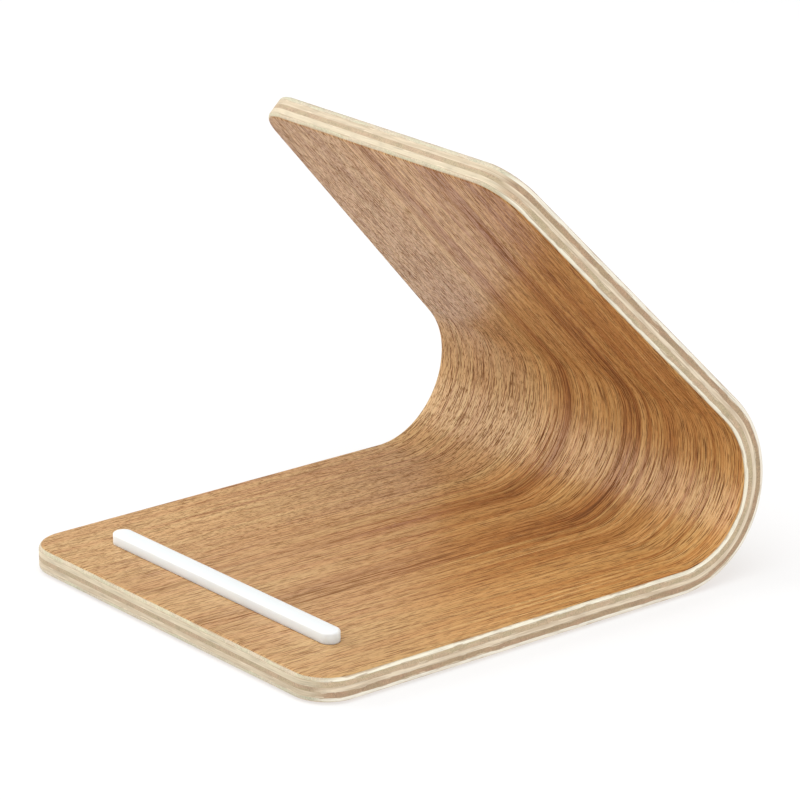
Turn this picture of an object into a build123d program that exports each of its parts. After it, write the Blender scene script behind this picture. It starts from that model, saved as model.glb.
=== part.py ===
from build123d import *
from math import atan, cos, degrees, radians, sin, sqrt, tan
import os

# A stand for a phone or a small tablet, moulded from one strip of bent plywood.
#
# The strip lies flat as the base, turns back on itself in one round bend and ends as a
# panel that leans forward over the base.  It is seven layers glued face to face: a thin
# veneer on each side and five thicker cross-banded plies between them.  Each layer is a
# piece of its own, so that it meets its neighbours along exact planes and cylinders.
# A soft bar is taped across the base and stops the foot of the device from sliding, and
# four soft feet hold the base just off the table.
#
# Millimetres.  +X is across, +Y runs from the front edge to the bend and +Z is up.  The
# origin is on the table under the middle of the stand.  "Run" is the distance along the
# strip's upper face from the front edge, and "depth" is measured through the board from
# that face.

# Board
board_width = 145.0             # across the base and the start of the bend
top_edge_width = 113.4          # between the side lines where they meet the top edge
base_flat = 135.2               # run from the front edge to the start of the bend
bend_radius = 24.9              # upper face, inside the bend
bend_angle = 133.0              # degrees that the strip turns through
panel_flat = 111.4              # run from the end of the bend to the top edge
front_corner_radius = 12.0
top_corner_radius = 12.8
side_blend_radius = 257.0       # arc between the straight side and the taper, on the flat strip
veneer_thickness = 0.25
core_ply_thicknesses = (1.0, 1.7, 1.45, 1.65, 1.3)   # from the upper face down

# Stopper bar and its tape
bar_length = 106.5
bar_width = 6.2
bar_rise = 3.7                  # top of the bar above the base
bar_edge_radius = 0.7
bar_setback = 21.9              # front edge to the bar's centre line
bar_offset = -1.2               # the bar is stuck on a little left of the middle
tape_thickness = 0.1
tape_margin = 0.4               # the tape stops this far inside the bar's outline

# Feet
foot_height = 0.6
foot_radius = 5.0
foot_edge_radius = 0.2
foot_side_inset = 15.0          # side edge to a foot's centre
foot_front_inset = 15.0         # front edge to the front feet's centres
foot_rear_inset = 10.0          # start of the bend to the rear feet's centres

# Trimming: the layers are pressed oversize and cut to the outline together
trim_allowance = 6.0            # extra width on each side before trimming
trim_clearance = 1.0            # how far the cut runs past both faces of the board
bend_sections = 15              # stations that carry the cut round the bend

# Worked out from the above
board_thickness = 2 * veneer_thickness + sum(core_ply_thicknesses)
overall_depth = base_flat + bend_radius + board_thickness
front_y = -overall_depth / 2
bend_start_y = front_y + base_flat
upper_face_z = foot_height + board_thickness
bend_centre_z = upper_face_z + bend_radius

bend_run = bend_radius * radians(bend_angle)
mid_bend_run = base_flat + bend_run / 2
strip_length = base_flat + bend_run + panel_flat
taper_slope = (board_width - top_edge_width) / 2 / (strip_length - mid_bend_run)
blend_start_run = mid_bend_run - side_blend_radius * tan(atan(taper_slope) / 2)
blend_end_run = blend_start_run + side_blend_radius * sin(atan(taper_slope))


def half_width(run):
    """Half the finished board's width at a run: straight, then an arc, then the taper."""
    if run <= blend_start_run:
        return board_width / 2
    if run < blend_end_run:
        along_arc = run - blend_start_run
        return board_width / 2 - side_blend_radius + sqrt(side_blend_radius**2 - along_arc**2)
    return board_width / 2 - (run - mid_bend_run) * taper_slope


def bend_plane(angle):
    """Plane across the strip at an angle round the bend: local X is across, local Y is outward."""
    turn = radians(angle)
    return Plane(
        origin=(0, bend_start_y, bend_centre_z),
        x_dir=(1, 0, 0),
        z_dir=(0, cos(turn), sin(turn)),
    )


# Plane of the panel's upper face.  Its origin is at the end of the bend and its local Y
# runs up the panel.  It faces the space over the base.
panel_turn = radians(bend_angle)
panel_plane = Plane(
    origin=(
        0,
        bend_start_y + bend_radius * sin(panel_turn),
        bend_centre_z - bend_radius * cos(panel_turn),
    ),
    x_dir=(1, 0, 0),
    z_dir=(0, -sin(panel_turn), cos(panel_turn)),
)

# Waste that is trimmed from both sides of the pressed strip, square to its faces
waste_outer_x = board_width / 2 + 2 * trim_allowance
waste_thickness = board_thickness + 2 * trim_clearance

with BuildPart() as side_waste:
    # Along the base
    with BuildSketch(Plane.XY.offset(foot_height - trim_clearance)):
        with BuildLine():
            Polyline(
                (half_width(0), front_y - trim_clearance),
                (waste_outer_x, front_y - trim_clearance),
                (waste_outer_x, bend_start_y),
                (half_width(base_flat), bend_start_y),
                close=True,
            )
        make_face()
    extrude(amount=waste_thickness)
    # Round the bend
    for station in range(bend_sections):
        angle = bend_angle * station / (bend_sections - 1)
        kept = half_width(base_flat + bend_radius * radians(angle))
        near = bend_radius - trim_clearance
        with BuildSketch(bend_plane(angle)):
            with Locations(((kept + waste_outer_x) / 2, near + waste_thickness / 2)):
                Rectangle(waste_outer_x - kept, waste_thickness)
    loft()
    # Up the panel
    with BuildSketch(panel_plane.offset(trim_clearance)):
        with BuildLine():
            Polyline(
                (half_width(base_flat + bend_run), 0),
                (waste_outer_x, 0),
                (waste_outer_x, panel_flat + trim_clearance),
                (half_width(strip_length + trim_clearance), panel_flat + trim_clearance),
                close=True,
            )
        make_face()
    extrude(amount=-waste_thickness)
    mirror(about=Plane.YZ)


def board_layer(near, far):
    """One layer of the board, between two depths below the strip's upper face."""
    centre = (bend_start_y, bend_centre_z)
    near_radius = bend_radius + near
    far_radius = bend_radius + far
    with BuildPart() as layer:
        # Side profile, drawn looking along -X: local X is +Y and local Y is +Z
        with BuildSketch(Plane.YZ):
            with BuildLine():
                near_base = Line(
                    (front_y, bend_centre_z - near_radius),
                    (bend_start_y, bend_centre_z - near_radius),
                )
                near_bend = CenterArc(centre, near_radius, -90, bend_angle)
                near_panel = Line(near_bend @ 1, near_bend @ 1 + (near_bend % 1) * panel_flat)
                far_base = Line(
                    (front_y, bend_centre_z - far_radius),
                    (bend_start_y, bend_centre_z - far_radius),
                )
                far_bend = CenterArc(centre, far_radius, -90, bend_angle)
                far_panel = Line(far_bend @ 1, far_bend @ 1 + (far_bend % 1) * panel_flat)
                Line(near_base @ 0, far_base @ 0)
                Line(near_panel @ 1, far_panel @ 1)
            make_face()
        extrude(amount=board_width / 2 + trim_allowance, both=True)
        add(side_waste.part, mode=Mode.SUBTRACT)
        front_corners = layer.edges().filter_by(Axis.Z).group_by(Axis.Y)[0]
        fillet(front_corners, front_corner_radius)
        through_panel = Axis(panel_plane.origin, panel_plane.z_dir)
        top_corners = layer.edges().filter_by(through_panel).group_by(Axis.Z)[-1]
        fillet(top_corners, top_corner_radius)
    return layer.part


os.makedirs("parts", exist_ok=True)

# The board, from the upper face down
layers = [("face_veneer", veneer_thickness)]
layers += [(f"core_ply_{n}", thickness) for n, thickness in enumerate(core_ply_thicknesses, 1)]
layers += [("back_veneer", veneer_thickness)]

depth = 0.0
for name, thickness in layers:
    layer_part = board_layer(depth, depth + thickness)
    layer_part.label = name
    export_step(layer_part, f"parts/{name}.step")
    depth += thickness

# Stopper bar: round ends, flat underside, softened top edge
bar_y = front_y + bar_setback

with BuildPart() as stopper_tape:
    with BuildSketch(Plane.XY.offset(upper_face_z)):
        with Locations((bar_offset, bar_y)):
            SlotOverall(bar_length - 2 * tape_margin, bar_width - 2 * tape_margin)
    extrude(amount=tape_thickness)
stopper_tape.part.label = "stopper_tape"
export_step(stopper_tape.part, "parts/stopper_tape.step")

with BuildPart() as stopper_bar:
    with BuildSketch(Plane.XY.offset(upper_face_z + tape_thickness)):
        with Locations((bar_offset, bar_y)):
            SlotOverall(bar_length, bar_width)
    extrude(amount=bar_rise - tape_thickness)
    fillet(stopper_bar.faces().sort_by(Axis.Z)[-1].edges(), bar_edge_radius)
stopper_bar.part.label = "stopper_bar"
export_step(stopper_bar.part, "parts/stopper_bar.step")

# Feet: four soft discs under the corners of the base
foot_x = board_width / 2 - foot_side_inset
foot_rows = {"front": front_y + foot_front_inset, "rear": bend_start_y - foot_rear_inset}

for row, foot_y in foot_rows.items():
    for side, side_sign in (("left", -1), ("right", 1)):
        with BuildPart() as foot:
            with BuildSketch(Plane.XY):
                with Locations((side_sign * foot_x, foot_y)):
                    Circle(foot_radius)
            extrude(amount=foot_height)
            fillet(foot.faces().sort_by(Axis.Z)[0].edges(), foot_edge_radius)
        foot.part.label = f"foot_{row}_{side}"
        export_step(foot.part, f"parts/foot_{row}_{side}.step")
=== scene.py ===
from math import atan, cos, pi, radians, sin, sqrt, tan

import bpy
import numpy as np
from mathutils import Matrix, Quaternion, Vector


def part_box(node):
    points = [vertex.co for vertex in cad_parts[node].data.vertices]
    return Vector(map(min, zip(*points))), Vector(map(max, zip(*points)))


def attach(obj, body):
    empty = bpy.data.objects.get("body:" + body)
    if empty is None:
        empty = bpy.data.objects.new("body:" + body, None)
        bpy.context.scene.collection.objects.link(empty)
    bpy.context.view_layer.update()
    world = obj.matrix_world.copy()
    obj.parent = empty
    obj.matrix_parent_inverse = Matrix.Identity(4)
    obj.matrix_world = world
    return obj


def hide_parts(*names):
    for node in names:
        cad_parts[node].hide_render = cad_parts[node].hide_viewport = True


# The looks of a bent plywood stand for a phone or a small tablet.  Every layer of the board
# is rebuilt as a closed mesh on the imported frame, with its cut edges eased and its grain
# carried round the bend, and the bar, its tape and the feet get their soft shapes.
# Metres, in the frame's axes: +X across, +Y from the front edge to the bend, +Z up.

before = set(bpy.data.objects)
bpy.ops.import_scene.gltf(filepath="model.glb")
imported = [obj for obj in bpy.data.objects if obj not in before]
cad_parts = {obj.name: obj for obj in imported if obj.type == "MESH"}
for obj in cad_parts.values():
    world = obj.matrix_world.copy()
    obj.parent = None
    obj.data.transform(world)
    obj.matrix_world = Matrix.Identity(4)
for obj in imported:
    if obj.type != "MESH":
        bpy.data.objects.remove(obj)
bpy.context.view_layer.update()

MM = 0.001

# ---------------------------------------------------------------- driving dimensions
# The strip's outline, as the design has it.  "Run" is the distance along the upper face
# from the front edge, "across" is measured from the middle and "depth" is measured through
# the board from the upper face.
TOP_EDGE_WIDTH = 113.4 * MM
BASE_FLAT = 135.2 * MM
BEND_ANGLE = radians(133.0)
PANEL_FLAT = 111.4 * MM
FRONT_CORNER_RADIUS = 12.0 * MM
TOP_CORNER_RADIUS = 12.8 * MM
SIDE_BLEND_RADIUS = 257.0 * MM

# Sanding of the cut edge
NEAR_EASE = 1.6 * MM            # radius on the upper face's edge, cut through its veneer
FAR_EASE = 1.1 * MM             # radius on the back's edge
END_GRAIN_RECESS = 0.02 * MM    # end grain sands a little lower than long grain

# Rounded rims of the soft pieces
BAR_FOOT_EASE = 0.05 * MM
BAR_TOP_EASE = 0.7 * MM
BAR_CROWN = 0.08 * MM           # rise of the bar's top towards its middle line
TAPE_EASE = 0.02 * MM
FOOT_EASE = 0.2 * MM

# How finely the meshes are cut
VENEER_COLUMNS = 60             # points across a veneer
PLY_COLUMNS = 12                # points across a core ply, of which only the edge shows
CORNER_STEPS = 14               # points round a corner of the outline
EASE_STEPS = 14                 # points round an eased edge of the board
FLAT_STEP = 2.5 * MM            # spacing along the base and the panel
BEND_STEP = 0.8 * MM            # spacing round the bend
SHARP_ANGLE = radians(32.0)     # edges that turn more than this are shaded sharp

# Camera and studio
CAMERA_AZIMUTH = radians(51.36)
CAMERA_ELEVATION = radians(19.01)
CAMERA_ROLL = radians(-0.33)
CAMERA_DISTANCE = 1310.7 * MM
CAMERA_AIM = Vector((0.2, 2.9, 52.9)) * MM
CAMERA_LENS = 199.6             # millimetres on a 36 mm sensor
SURROUNDINGS_STRENGTH = 0.53
FLOOR_GREY = 0.32
FLOOR_GLOW = 0.64               # the floor is lit from within, like a light table
LIGHTS_AIM = Vector((0.0, 0.0, 0.06))
SOFTBOXES = (
    # name, place, side, watts
    ("overhead", Vector((0.25, -0.35, 1.5)), 1.4, 12.9),
    ("front_left", Vector((-1.15, -0.75, 0.65)), 1.3, 15.0),
    ("right", Vector((1.5, -0.1, 0.7)), 1.2, 5.3),
    ("back", Vector((-0.2, 1.5, 1.0)), 1.2, 4.4),
)

# ---------------------------------------------------------------- measures from the frame
upper_face_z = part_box("stopper_tape")[0].z
board_low, board_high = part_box("back_veneer")
board_thickness = upper_face_z - board_low.z
board_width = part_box("core_ply_1")[1].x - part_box("core_ply_1")[0].x
front_y = board_low.y
bend_start_y = front_y + BASE_FLAT
bend_radius = board_high.y - board_thickness - bend_start_y
bend_centre_z = upper_face_z + bend_radius

bend_run = bend_radius * BEND_ANGLE
bend_end_run = BASE_FLAT + bend_run
mid_bend_run = BASE_FLAT + bend_run / 2
strip_length = bend_end_run + PANEL_FLAT
taper = atan((board_width - TOP_EDGE_WIDTH) / 2 / (strip_length - mid_bend_run))
blend_start_run = mid_bend_run - SIDE_BLEND_RADIUS * tan(taper / 2)
blend_end_run = blend_start_run + SIDE_BLEND_RADIUS * sin(taper)


# ---------------------------------------------------------------- the strip
def strip_point(across, run, depth):
    """Where a point of the flat strip lies once the strip is bent.  Works on arrays."""
    turn = np.clip((run - BASE_FLAT) / bend_radius, 0.0, BEND_ANGLE)
    along_base = np.minimum(run, BASE_FLAT)
    along_panel = np.maximum(run - bend_end_run, 0.0)
    radius = bend_radius + depth
    y = front_y + along_base + radius * np.sin(turn) + along_panel * np.cos(turn)
    z = bend_centre_z - radius * np.cos(turn) + along_panel * np.sin(turn)
    return np.stack([across + 0 * y, y, z], axis=-1)


def outline_stations():
    """The right half of the flat outline, front to top: points and outward normals.

    Each row is (across, run).  The front corner and the top corner are arcs and the side
    between them is straight, then an arc, then the straight taper.
    """
    points, normals = [], []
    front_centre = np.array([board_width / 2 - FRONT_CORNER_RADIUS, FRONT_CORNER_RADIUS])
    for angle in np.linspace(-pi / 2, 0, CORNER_STEPS):
        normal = np.array([cos(angle), sin(angle)])
        points.append(front_centre + FRONT_CORNER_RADIUS * normal)
        normals.append(normal)
    top_centre_run = strip_length - TOP_CORNER_RADIUS
    side_end_run = top_centre_run + TOP_CORNER_RADIUS * sin(taper)
    stretches = (
        (FRONT_CORNER_RADIUS, BASE_FLAT, FLAT_STEP),
        (BASE_FLAT, bend_end_run, BEND_STEP),
        (bend_end_run, side_end_run, FLAT_STEP),
    )
    for start, end, step in stretches:
        for run in np.linspace(start, end, int((end - start) / step) + 2)[1:]:
            turned = np.clip((run - blend_start_run) / SIDE_BLEND_RADIUS, 0, sin(taper))
            angle = np.arcsin(turned)
            if run < blend_end_run:
                across = board_width / 2 - SIDE_BLEND_RADIUS * (1 - cos(angle))
            else:
                across = board_width / 2 - (run - mid_bend_run) * tan(taper)
            points.append(np.array([across, run]))
            normals.append(np.array([cos(angle), sin(angle)]))
    top_centre_across = (
        TOP_EDGE_WIDTH / 2 + TOP_CORNER_RADIUS * tan(taper) - TOP_CORNER_RADIUS / cos(taper)
    )
    top_centre = np.array([top_centre_across, top_centre_run])
    for angle in np.linspace(taper, pi / 2, CORNER_STEPS)[1:]:
        normal = np.array([cos(angle), sin(angle)])
        points.append(top_centre + TOP_CORNER_RADIUS * normal)
        normals.append(normal)
    return np.array(points), np.array(normals)


station_points, station_normals = outline_stations()


def edge_inset(depth):
    """How far the sanding takes the cut edge in, at a depth."""
    for ease, from_face in ((NEAR_EASE, depth), (FAR_EASE, board_thickness - depth)):
        if from_face < ease:
            return ease - sqrt(max(ease**2 - (ease - from_face) ** 2, 0.0))
    return 0.0


def wall_depths(near, far):
    """Where a layer's cut edge gets its rows: evenly round the eased parts of the edge."""
    turns = np.linspace(0.0, pi / 2, EASE_STEPS)
    near_round = NEAR_EASE * (1 - np.cos(turns))
    far_round = board_thickness - FAR_EASE * (1 - np.cos(turns))
    rows = np.sort(np.concatenate([near_round, far_round]))
    least_gap = 0.01 * MM
    inside = rows[(rows > near + least_gap) & (rows < far - least_gap)]
    return np.concatenate([[near], inside, [far]])


def board_layer(name, near, far, columns, grain_along):
    """A closed mesh of one layer of the board, between two depths."""
    share = np.linspace(-1.0, 1.0, columns)
    rows = len(station_points)
    rounding = 0.001 * MM

    def rows_at(depth):
        """The layer's grid at a depth, as (across, run, depth), shaped rows by columns."""
        inset = edge_inset(depth)
        # end grain shows where the edge cuts square across the grain
        side_share = np.abs(station_normals[:, 0])
        end_grain = 1 - side_share if grain_along else side_share
        inside_board = min(depth, board_thickness - depth) > rounding
        recess = END_GRAIN_RECESS * end_grain if inside_board else 0 * end_grain
        moved = station_points - (inset + recess)[:, None] * station_normals
        across = moved[:, :1] * share[None, :]
        run = np.repeat(moved[:, 1:], columns, axis=1)
        return np.stack([across, run, np.full_like(across, depth)], axis=-1)

    index = np.arange(rows * columns).reshape(rows, columns)
    rim = np.concatenate(
        [index[0, :], index[1:, -1], index[-1, -2::-1], index[-2:0:-1, 0]]
    )
    depths = wall_depths(near, far)
    near_grid = rows_at(near).reshape(-1, 3)
    far_grid = rows_at(far).reshape(-1, 3)
    walls = [rows_at(depth).reshape(-1, 3)[rim] for depth in depths[1:-1]]
    strip = np.concatenate([near_grid, far_grid] + walls)
    vertices = strip_point(strip[:, 0], strip[:, 1], strip[:, 2])

    faces = []
    quads = np.stack(
        [index[:-1, :-1], index[:-1, 1:], index[1:, 1:], index[1:, :-1]], axis=-1
    ).reshape(-1, 4)
    faces += quads.tolist()
    faces += (quads[:, ::-1] + rows * columns).tolist()
    first_wall = 2 * rows * columns
    loops = [rim]
    loops += [first_wall + level * len(rim) + np.arange(len(rim)) for level in range(len(walls))]
    loops += [rim + rows * columns]
    for upper, lower in zip(loops[:-1], loops[1:]):
        wall = np.stack([upper, lower, np.roll(lower, -1), np.roll(upper, -1)], axis=-1)
        faces += wall.tolist()

    mesh = bpy.data.meshes.new(name)
    mesh.from_pydata(vertices.tolist(), [], faces)
    attribute = mesh.attributes.new("strip", "FLOAT_VECTOR", "POINT")
    attribute.data.foreach_set("vector", (strip / MM).astype(np.float32).ravel())
    return finish_mesh(mesh, name)


def finish_mesh(mesh, name):
    """Smooth shading, sharp only where the surface really turns a corner."""
    mesh.validate()
    mesh.polygons.foreach_set("use_smooth", [True] * len(mesh.polygons))
    mesh.set_sharp_from_angle(angle=SHARP_ANGLE)
    mesh.update()
    piece = bpy.data.objects.new(name, mesh)
    bpy.context.scene.collection.objects.link(piece)
    return piece


# ---------------------------------------------------------------- bar, tape and feet
def lofted_solid(name, rings, fan_centre_low, fan_centre_high):
    """A closed mesh from stacked rings of equal length, with a fan at each end."""
    count = len(rings[0])
    vertices = [point for ring in rings for point in ring]
    low, high = len(vertices), len(vertices) + 1
    vertices += [fan_centre_low, fan_centre_high]
    faces = []
    for level in range(len(rings) - 1):
        for step in range(count):
            following = (step + 1) % count
            base, above = level * count, (level + 1) * count
            faces.append((base + step, base + following, above + following, above + step))
    top = (len(rings) - 1) * count
    for step in range(count):
        following = (step + 1) % count
        faces.append((low, following, step))
        faces.append((high, top + step, top + following))
    mesh = bpy.data.meshes.new(name)
    mesh.from_pydata(vertices, [], faces)
    return finish_mesh(mesh, name)


def slot_ring(low, high, inset, z, steps=28):
    """A slot outline, a rectangle with half-round ends, inside a box and taken in evenly."""
    half_width = (high.y - low.y) / 2
    radius = half_width - inset
    middle_y = (low.y + high.y) / 2
    centres = ((high.x - half_width, -pi / 2), (low.x + half_width, pi / 2))
    ring = []
    for centre_x, start in centres:
        for step in range(steps + 1):
            angle = start + pi * step / steps
            ring.append((centre_x + radius * cos(angle), middle_y + radius * sin(angle), z))
    return ring


def soft_slot(name, node, foot_ease, top_ease, crown):
    """A moulded bar in a node's box: eased foot, rounded top edge and a slight crown."""
    low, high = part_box(node)
    ease_steps = 7
    levels = []
    for step in range(ease_steps):
        angle = pi / 2 * step / (ease_steps - 1)
        levels.append((foot_ease * (1 - sin(angle)), low.z + foot_ease * (1 - cos(angle))))
    for step in range(ease_steps):
        angle = pi / 2 * step / (ease_steps - 1)
        inset = top_ease * (1 - cos(angle))
        levels.append((inset, high.z - crown - top_ease * (1 - sin(angle))))
    half_width = (high.y - low.y) / 2
    crown_steps = 5
    for step in range(1, crown_steps + 1):
        share = step / (crown_steps + 1)
        inset = top_ease + (half_width - top_ease) * share
        levels.append((inset, high.z - crown * (1 - share) ** 2))
    rings = [slot_ring(low, high, inset, z) for inset, z in levels]
    middle = ((low.x + high.x) / 2, (low.y + high.y) / 2)
    return lofted_solid(name, rings, (*middle, low.z), (*middle, high.z))


def soft_disc(name, node, edge_ease, steps=48):
    """A soft foot in a node's box: its lower rim is rounded, as a moulded pad's is."""
    flat_share = 0.6            # an extra ring keeps the fan of faces inside the flat part
    low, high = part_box(node)
    centre = ((low.x + high.x) / 2, (low.y + high.y) / 2)
    radius = (high.x - low.x) / 2
    levels = [(flat_share, low.z)]
    ease_steps = 6
    for step in range(ease_steps):
        angle = pi / 2 * step / (ease_steps - 1)
        levels.append(
            (1 - edge_ease / radius * (1 - sin(angle)), low.z + edge_ease * (1 - cos(angle)))
        )
    levels.append((1.0, high.z))
    angles = [2 * pi * step / steps for step in range(steps)]
    rings = []
    for share, z in levels:
        reach = share * radius
        rings.append([(centre[0] + reach * cos(a), centre[1] + reach * sin(a), z) for a in angles])
    return lofted_solid(name, rings, (*centre, low.z), (*centre, high.z))


# ---------------------------------------------------------------- materials
class Graph:
    """A small helper that builds a material's nodes, one call per node."""

    def __init__(self, name):
        self.material = bpy.data.materials.new(name)
        self.material.use_nodes = True
        self.tree = self.material.node_tree
        self.shader = self.tree.nodes["Principled BSDF"]

    def link(self, source, target):
        self.tree.links.new(source, target)

    def put(self, target, value):
        """Sets a socket to a constant or links it to another socket."""
        if isinstance(value, bpy.types.NodeSocket):
            self.link(value, target)
        else:
            target.default_value = value

    def math(self, operation, a, b=0.0, clamp=False):
        node = self.tree.nodes.new("ShaderNodeMath")
        node.operation = operation
        node.use_clamp = clamp
        self.put(node.inputs[0], a)
        self.put(node.inputs[1], b)
        return node.outputs[0]

    def attribute(self, name):
        node = self.tree.nodes.new("ShaderNodeAttribute")
        node.attribute_name = name
        return node.outputs["Vector"]

    def split(self, vector):
        node = self.tree.nodes.new("ShaderNodeSeparateXYZ")
        self.link(vector, node.inputs[0])
        return node.outputs

    def join(self, x, y, z=0.0):
        node = self.tree.nodes.new("ShaderNodeCombineXYZ")
        self.put(node.inputs[0], x)
        self.put(node.inputs[1], y)
        self.put(node.inputs[2], z)
        return node.outputs[0]

    def noise(self, x, y, z=0.0, detail=2.0):
        """Noise of unit grain size over the given coordinates."""
        node = self.tree.nodes.new("ShaderNodeTexNoise")
        self.link(self.join(x, y, z), node.inputs["Vector"])
        node.inputs["Scale"].default_value = 1.0
        node.inputs["Detail"].default_value = detail
        node.inputs["Roughness"].default_value = 0.5
        return node.outputs["Fac"]

    def cells(self, x, y):
        """Distance to the nearest cell centre, and a random colour for each cell."""
        node = self.tree.nodes.new("ShaderNodeTexVoronoi")
        node.voronoi_dimensions = "2D"
        self.link(self.join(x, y), node.inputs["Vector"])
        node.inputs["Scale"].default_value = 1.0
        node.inputs["Randomness"].default_value = 1.0
        return node.outputs["Distance"], node.outputs["Color"]

    def span(self, value, low, high, to_low=0.0, to_high=1.0):
        """Maps low..high to to_low..to_high, eased at both ends and clamped."""
        node = self.tree.nodes.new("ShaderNodeMapRange")
        node.interpolation_type = "SMOOTHSTEP"
        self.link(value, node.inputs["Value"])
        node.inputs["From Min"].default_value = low
        node.inputs["From Max"].default_value = high
        node.inputs["To Min"].default_value = to_low
        node.inputs["To Max"].default_value = to_high
        return node.outputs["Result"]

    def ramp(self, value, stops):
        node = self.tree.nodes.new("ShaderNodeValToRGB")
        elements = node.color_ramp.elements
        while len(elements) < len(stops):
            elements.new(0.5)
        for element, (position, color) in zip(elements, stops):
            element.position = position
            element.color = (*color, 1.0)
        self.link(value, node.inputs["Fac"])
        return node.outputs["Color"]

    def mix(self, factor, a, b, blend="MIX"):
        node = self.tree.nodes.new("ShaderNodeMix")
        node.data_type = "RGBA"
        node.blend_type = blend
        node.clamp_factor = True
        # inputs 6 and 7 and output 2 are the node's colour sockets
        self.put(node.inputs[0], factor)
        self.put(node.inputs[6], a if isinstance(a, bpy.types.NodeSocket) else (*a, 1.0))
        self.put(node.inputs[7], b if isinstance(b, bpy.types.NodeSocket) else (*b, 1.0))
        return node.outputs[2]

    def bump(self, height, distance, strength):
        node = self.tree.nodes.new("ShaderNodeBump")
        node.inputs["Strength"].default_value = strength
        node.inputs["Distance"].default_value = distance
        self.link(height, node.inputs["Height"])
        self.link(node.outputs["Normal"], self.shader.inputs["Normal"])


PORE_COLOR = (0.135, 0.042, 0.009)
LACQUER_IOR = 1.48
LACQUER_TINT = (1.0, 0.92, 0.74, 1.0)
VENEER_TONES = (
    # tone, colour from the darkest streaks to the palest
    (0.12, (0.255, 0.080, 0.018)),
    (0.36, (0.418, 0.172, 0.046)),
    (0.60, (0.560, 0.294, 0.097)),
    (0.90, (0.725, 0.462, 0.190)),
)
GREYER_BROWN = (0.560, 0.358, 0.190)


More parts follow.
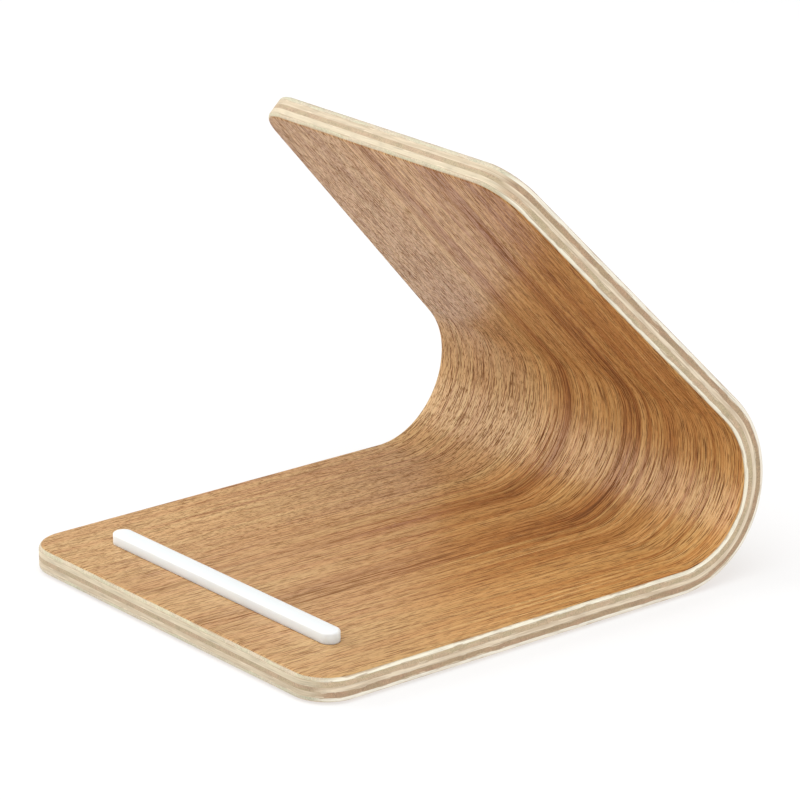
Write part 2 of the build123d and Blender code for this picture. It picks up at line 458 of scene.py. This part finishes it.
def brown_veneer(name, shift, bands):
    """Open-pored golden brown veneer, grain along the strip, under a thin satin lacquer.

    All lengths in it are millimetres, and the last number of each streaks() is its seed.
    shift moves the pattern across the sheet, so that the two faces don't match.  bands are
    the sheet's darker bands, from the darkest down: (middle across, half width, depth of tone).
    """
    g = Graph(name)
    across, run, _ = g.split(g.attribute("strip"))
    # the grain leans slightly to one side and wanders by less than a millimetre
    lean, wander = 0.03, 1.2
    drift = g.noise(g.math("MULTIPLY", across, 1 / 40), g.math("MULTIPLY", run, 1 / 130), shift)
    line = g.math("SUBTRACT", across, g.math("MULTIPLY", run, lean))
    line = g.math("ADD", line, g.math("MULTIPLY", drift, wander))
    sheet_line = g.math("ADD", line, shift)

    def streaks(width, length, detail, seed):
        """Noise drawn out along the grain."""
        return g.noise(
            g.math("MULTIPLY", sheet_line, 1 / width),
            g.math("MULTIPLY", run, 1 / length),
            seed,
            detail,
        )

    def band(middle, half_width):
        """1 in the middle of a band that runs the length of the sheet, fading to each side."""
        offset = g.math("MULTIPLY", g.math("SUBTRACT", line, middle), 1 / half_width)
        return g.math("EXPONENT", g.math("MULTIPLY", g.math("MULTIPLY", offset, offset), -1.0))

    # growth rings: soft bands and finer streaks in them; the tone is raised near the front edge as
    # painted light away from the panel's shade, and past the bend as painted light on the bend and
    # panel
    painted_front_light = g.span(run, 80.0, 0.0, 0.0, 0.07)
    tone = g.math("ADD", painted_front_light, g.span(run, 125.0, 190.0, 0.615, 0.665))
    fine = streaks(0.42, 60.0, 2.0, 12.3)
    for layer, amount in (
        (streaks(6.0, 500.0, 2.0, 3.1), 0.45),
        (streaks(1.7, 230.0, 3.0, 7.7), 0.85),
        (fine, 1.20),
    ):
        tone = g.math("ADD", tone, g.math("MULTIPLY", g.math("SUBTRACT", layer, 0.5), amount))
    dark_parts = [band(middle, half_width) for middle, half_width, _ in bands]
    for part, (_, _, depth) in zip(dark_parts, bands):
        tone = g.math("SUBTRACT", tone, g.math("MULTIPLY", part, depth))
    # painted shade: the sheet is darkened round the bend, most towards its right, and towards the
    # left of the panel's top
    for start, end, left, right, depth in (
        (185.0, 225.0, -12.0, 22.0, 0.10),
        (135.0, 190.0, 15.0, 50.0, 0.14),
        (235.0, 300.0, 5.0, -30.0, 0.10),
    ):
        darker = g.math("MULTIPLY", g.span(run, start, end), g.span(line, left, right))
        tone = g.math("SUBTRACT", tone, g.math("MULTIPLY", darker, depth))
    color = g.ramp(tone, VENEER_TONES)
    # it is greyer at the left and towards the front
    left_side = g.span(line, -18.0, -38.0)
    front_grey = g.span(run, 125.0, 20.0, 0.0, 0.48)
    greyer = g.math("MAXIMUM", g.math("MULTIPLY", left_side, 0.35), front_grey)
    color = g.mix(greyer, color, GREYER_BROWN)
    # and its colour drifts between a redder and a more golden brown
    redness = g.span(streaks(4.0, 60.0, 2.0, 41.0), 0.36, 0.64)
    tint = g.mix(redness, (0.985, 1.015, 0.99), (1.015, 0.985, 0.96))
    color = g.mix(1.0, color, tint, "MULTIPLY")

    # pores: long dashes, shorter ones between them, and specks
    def dashes(width, length, size, absent):
        """Thin dashes, one to a cell of that width and length, some of them missing."""
        distance, cell = g.cells(
            g.math("MULTIPLY", sheet_line, 1 / width), g.math("MULTIPLY", run, 1 / length)
        )
        chance = g.split(cell)[0]
        there = g.span(chance, absent, absent + 0.25)
        return g.math("MULTIPLY", g.span(distance, size, 0.45 * size), there)

    long_pores = dashes(0.82, 27.0, 0.22, 0.0)
    short_pores = dashes(0.52, 8.0, 0.26, 0.05)
    specks = g.span(streaks(0.28, 1.9, 1.0, 21.9), 0.54, 0.66)
    speck_depth = g.math("ADD", 0.30, g.math("MULTIPLY", left_side, 0.40))
    pores = g.math("MAXIMUM", long_pores, g.math("MULTIPLY", short_pores, 0.85))
    pores = g.math("MAXIMUM", pores, g.math("MULTIPLY", specks, speck_depth))
    # hair lines run on for centimetres inside the two darkest bands, fainter on the panel
    in_bands = g.math("MAXIMUM", dark_parts[0], g.math("MULTIPLY", dark_parts[1], 0.6))
    in_bands = g.math("MULTIPLY", in_bands, g.span(run, 190.0, 240.0, 0.80, 0.40))
    hair_lines = g.span(streaks(0.55, 26.0, 1.0, 33.3), 0.53, 0.62)
    pores = g.math("MAXIMUM", pores, g.math("MULTIPLY", hair_lines, in_bands))
    # they are fainter on the base and darker from the bend on
    pores = g.math("MULTIPLY", pores, g.span(run, 90.0, 190.0, 0.88, 1.12), clamp=True)
    color = g.mix(pores, color, PORE_COLOR)
    g.link(color, g.shader.inputs["Base Color"])
    g.link(g.span(pores, 0.0, 0.7, 0.33, 0.90), g.shader.inputs["Roughness"])
    relief = g.math("SUBTRACT", g.math("MULTIPLY", fine, 0.3), pores)
    g.bump(relief, distance=0.03 * MM, strength=0.5)
    # light comes back out of the fibres under the lacquer a little golden
    g.shader.inputs["Specular Tint"].default_value = LACQUER_TINT
    g.shader.inputs["IOR"].default_value = LACQUER_IOR
    return g.material


GLUE_LINE_COLOR = (0.30, 0.20, 0.11)


def ply_edge(name, near, far, grain_along, colors, mottling, seed):
    """A core ply: pale silky long grain, duller speckled end grain and uneven joints.

    colors are the ply's long grain, its end grain and what shows of its neighbours, and
    mottling is how much of the neighbours' colour its long grain takes on in streaks.
    """
    long_color, end_color, neighbour_color = colors
    g = Graph(name)
    across, run, depth = g.split(g.attribute("strip"))
    normal = g.tree.nodes.new("ShaderNodeNewGeometry").outputs["Normal"]
    facing_side = g.math("ABSOLUTE", g.split(normal)[0])
    # 1 on the side edges and 0 on the front and top edges
    side = g.span(facing_side, 0.45, 0.85)
    long_grain = side if grain_along else g.math("SUBTRACT", 1.0, side)
    # distance along whichever edge is seen
    along = g.math("ADD", run, across)

    def streaks(width, length, detail, offset):
        """Noise drawn out along the edge, in millimetres."""
        return g.noise(
            g.math("MULTIPLY", depth, 1 / width),
            g.math("MULTIPLY", along, 1 / length),
            seed + offset,
            detail,
        )

    fibres = streaks(0.32, 10.0, 3.0, 0.0)
    patches = streaks(2.0, 5.0, 2.0, 5.0)
    long_tone = g.math("ADD", g.math("MULTIPLY", fibres, 0.65), g.math("MULTIPLY", patches, 0.35))
    long_look = g.ramp(
        long_tone,
        (
            (0.30, tuple(0.66 * c for c in long_color)),
            (0.50, long_color),
            (0.75, tuple(min(1.08 * c, 0.95) for c in long_color)),
        ),
    )
    vessels = streaks(0.30, 0.34, 1.0, 9.0)
    checks = streaks(1.1, 0.8, 2.0, 13.0)
    end_tone = g.math("MULTIPLY", vessels, 0.50)
    end_tone = g.math("ADD", end_tone, g.math("MULTIPLY", checks, 0.25))
    end_tone = g.math("ADD", end_tone, g.math("MULTIPLY", patches, 0.25))
    end_look = g.ramp(
        end_tone,
        (
            (0.30, tuple(0.58 * c for c in end_color)),
            (0.50, end_color),
            (0.70, tuple(1.28 * c for c in end_color)),
        ),
    )
    # end grain drifts between a warmer and a cooler tan
    warmth = g.span(streaks(2.0, 9.0, 2.0, 29.0), 0.38, 0.62)
    tint = g.mix(warmth, (0.96, 1.0, 0.94), (1.04, 0.985, 0.97))
    end_look = g.mix(1.0, end_look, tint, "MULTIPLY")
    mottle = g.span(streaks(0.8, 16.0, 4.0, 37.0), 0.44, 0.62, 0.0, mottling)
    long_look = g.mix(mottle, long_look, neighbour_color)
    color = g.mix(long_grain, end_look, long_look)
    # the joints wander: the neighbour shows through a torn sliver, beside a dark glue line
    for joint, outward, offset in ((near, 1.0, 17.0), (far, -1.0, 23.0)):
        from_joint = g.math("MULTIPLY", g.math("SUBTRACT", depth, joint / MM), outward)
        torn = g.span(streaks(0.9, 7.0, 3.0, offset), 0.46, 0.70, 0.0, 0.42)
        sliver = g.span(g.math("SUBTRACT", from_joint, torn), 0.05, -0.05)
        color = g.mix(g.math("MULTIPLY", sliver, 0.65), color, neighbour_color)
        line = g.span(g.math("SUBTRACT", from_joint, g.math("MULTIPLY", torn, 0.3)), 0.08, -0.02)
        color = g.mix(g.math("MULTIPLY", line, 0.45), color, GLUE_LINE_COLOR)
    g.link(color, g.shader.inputs["Base Color"])
    g.shader.inputs["Roughness"].default_value = 0.55
    g.bump(g.math("ADD", fibres, g.math("MULTIPLY", vessels, 0.6)), distance=0.03 * MM, strength=0.5)
    return g.material


def white_silicone(name):
    """Matt white silicone: slightly translucent, with the faintest moulded texture."""
    g = Graph(name)
    position = g.tree.nodes.new("ShaderNodeTexCoord").outputs["Object"]
    axes = g.split(position)
    cloud_size = (18 * MM, 9 * MM, 5 * MM)
    grain = 0.35 * MM
    cloud = g.noise(*(g.math("MULTIPLY", axes[i], 1 / cloud_size[i]) for i in range(3)))
    texture = g.noise(*(g.math("MULTIPLY", axes[i], 1 / grain) for i in range(3)))
    color = g.ramp(cloud, ((0.3, (0.795, 0.850, 0.868)), (0.7, (0.815, 0.865, 0.880))))
    g.link(color, g.shader.inputs["Base Color"])
    g.link(g.span(texture, 0.3, 0.7, 0.42, 0.52), g.shader.inputs["Roughness"])
    g.shader.inputs["Subsurface Weight"].default_value = 0.9
    g.shader.inputs["Subsurface Radius"].default_value = (1.0, 1.0, 0.95)
    g.shader.inputs["Subsurface Scale"].default_value = 2.5 * MM
    g.bump(texture, distance=0.02 * MM, strength=0.25)
    return g.material


def soft_plastic(name, dark, light, roughness, grain):
    """A plain moulded soft plastic with a cloudy tone and a fine texture of that size."""
    g = Graph(name)
    position = g.tree.nodes.new("ShaderNodeTexCoord").outputs["Object"]
    axes = g.split(position)
    cloud_size = 4 * MM
    cloud = g.noise(*(g.math("MULTIPLY", axes[i], 1 / cloud_size) for i in range(3)))
    texture = g.noise(*(g.math("MULTIPLY", axes[i], 1 / grain) for i in range(3)))
    g.link(g.ramp(cloud, ((0.3, dark), (0.7, light))), g.shader.inputs["Base Color"])
    g.link(
        g.span(texture, 0.3, 0.7, roughness - 0.05, roughness + 0.08), g.shader.inputs["Roughness"]
    )
    g.bump(texture, distance=0.03 * MM, strength=0.4)
    return g.material


def dress(piece, material, node):
    """Gives a piece its material, rides it on the object and lets it stand for its node."""
    piece.data.materials.clear()
    piece.data.materials.append(material)
    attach(piece, "root")
    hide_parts(node)


# ---------------------------------------------------------------- the object
def depth_of(node):
    """How deep a layer's far face lies, read from where its bend reaches furthest back."""
    return board_thickness - (board_high.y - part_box(node)[1].y)


# how far each sheet's pattern is moved across, and its dark bands (middle, half width, depth)
VENEER_SHEETS = {
    "face_veneer": (0.0, ((16.5, 6.5, 0.26), (-16.0, 7.0, 0.13), (37.0, 12.0, 0.12))),
    "back_veneer": (137.0, ((-33.0, 7.0, 0.20), (6.0, 9.0, 0.13), (44.0, 8.0, 0.10))),
}
# what shows of a torn neighbour at a ply's joints
TAN = (0.52, 0.39, 0.255)
CREAM = (0.80, 0.68, 0.50)
layers = (
    # node, grain along the strip, mottling, long grain colour, end grain colour
    ("face_veneer", True, None, None, None),
    ("core_ply_1", True, 0.15, (0.93, 0.865, 0.70), (0.555, 0.480, 0.340)),
    ("core_ply_2", False, 0.30, (0.60, 0.505, 0.350), (0.53, 0.405, 0.265)),
    ("core_ply_3", True, 0.60, (0.80, 0.670, 0.495), (0.445, 0.335, 0.215)),
    ("core_ply_4", False, 0.35, (0.545, 0.440, 0.300), (0.425, 0.290, 0.180)),
    ("core_ply_5", True, 0.22, (0.89, 0.83, 0.70), (0.570, 0.515, 0.390)),
    ("back_veneer", True, None, None, None),
)
near = 0.0
for number, (node, grain_along, mottling, long_color, end_color) in enumerate(layers):
    far = depth_of(node)
    if long_color is None:
        piece = board_layer(node + "_sheet", near, far, VENEER_COLUMNS, grain_along)
        shift, bands = VENEER_SHEETS[node]
        material = brown_veneer(node, shift, bands)
    else:
        piece = board_layer(node + "_sheet", near, far, PLY_COLUMNS, grain_along)
        colors = (long_color, end_color, TAN if grain_along else CREAM)
        seed = 20.0 * number
        material = ply_edge(node, near, far, grain_along, colors, mottling, seed)
    dress(piece, material, node)
    near = far

bar = soft_slot("stopper_bar_moulding", "stopper_bar", BAR_FOOT_EASE, BAR_TOP_EASE, BAR_CROWN)
dress(bar, white_silicone("white_silicone"), "stopper_bar")

tape = soft_slot("stopper_tape_strip", "stopper_tape", TAPE_EASE, TAPE_EASE, 0.0)
tape_look = soft_plastic("tape", (0.50, 0.48, 0.44), (0.60, 0.58, 0.54), 0.45, 0.2 * MM)
dress(tape, tape_look, "stopper_tape")

foot_look = soft_plastic("foot_pad", (0.30, 0.30, 0.29), (0.38, 0.38, 0.37), 0.5, 0.25 * MM)
for row in ("front", "rear"):
    for side in ("left", "right"):
        node = f"foot_{row}_{side}"
        dress(soft_disc(node + "_pad", node, FOOT_EASE), foot_look, node)


# ---------------------------------------------------------------- stage, light and camera
def floor():
    """A plain pale floor, far larger than the view."""
    reach = 4.0
    mesh = bpy.data.meshes.new("floor")
    corners = [(-reach, -reach, 0), (reach, -reach, 0), (reach, reach, 0), (-reach, reach, 0)]
    mesh.from_pydata(corners, [], [(0, 1, 2, 3)])
    plane = bpy.data.objects.new("floor", mesh)
    bpy.context.scene.collection.objects.link(plane)
    look = bpy.data.materials.new("floor")
    look.use_nodes = True
    shader = look.node_tree.nodes["Principled BSDF"]
    shader.inputs["Base Color"].default_value = (FLOOR_GREY, FLOOR_GREY, FLOOR_GREY, 1.0)
    shader.inputs["Emission Color"].default_value = (1.0, 1.0, 1.0, 1.0)
    shader.inputs["Emission Strength"].default_value = FLOOR_GLOW
    shader.inputs["Roughness"].default_value = 0.9
    shader.inputs["Specular IOR Level"].default_value = 0.1
    mesh.materials.append(look)


def softbox(name, place, side, power):
    """A large square area light aimed at the object."""
    light = bpy.data.lights.new(name, "AREA")
    light.shape = "SQUARE"
    light.size = side
    light.energy = power
    lamp = bpy.data.objects.new(name, light)
    lamp.location = place
    lamp.rotation_euler = (LIGHTS_AIM - place).to_track_quat("-Z", "Y").to_euler()
    bpy.context.scene.collection.objects.link(lamp)


def studio():
    """White surroundings, a softbox overhead, a low one front left, and two weaker ones."""
    world = bpy.data.worlds.new("studio")
    world.use_nodes = True
    background = world.node_tree.nodes["Background"]
    background.inputs["Color"].default_value = (1.0, 1.0, 1.0, 1.0)
    background.inputs["Strength"].default_value = SURROUNDINGS_STRENGTH
    bpy.context.scene.world = world
    for name, place, side, power in SOFTBOXES:
        softbox(name, place, side, power)


def camera():
    """A long lens a little above the front right corner."""
    view = bpy.data.cameras.new("camera")
    view.lens = CAMERA_LENS
    view.sensor_width = 36.0
    view.clip_end = 20.0
    eye = bpy.data.objects.new("camera", view)
    level = cos(CAMERA_ELEVATION)
    looking = Vector(
        (-sin(CAMERA_AZIMUTH) * level, cos(CAMERA_AZIMUTH) * level, -sin(CAMERA_ELEVATION))
    )
    eye.location = CAMERA_AIM - looking * CAMERA_DISTANCE
    upright = looking.to_track_quat("-Z", "Y")
    eye.rotation_euler = (upright @ Quaternion((0, 0, 1), CAMERA_ROLL)).to_euler()
    bpy.context.scene.collection.objects.link(eye)
    bpy.context.scene.camera = eye


floor()
studio()
camera()
bpy.context.scene.view_settings.view_transform = "Standard"
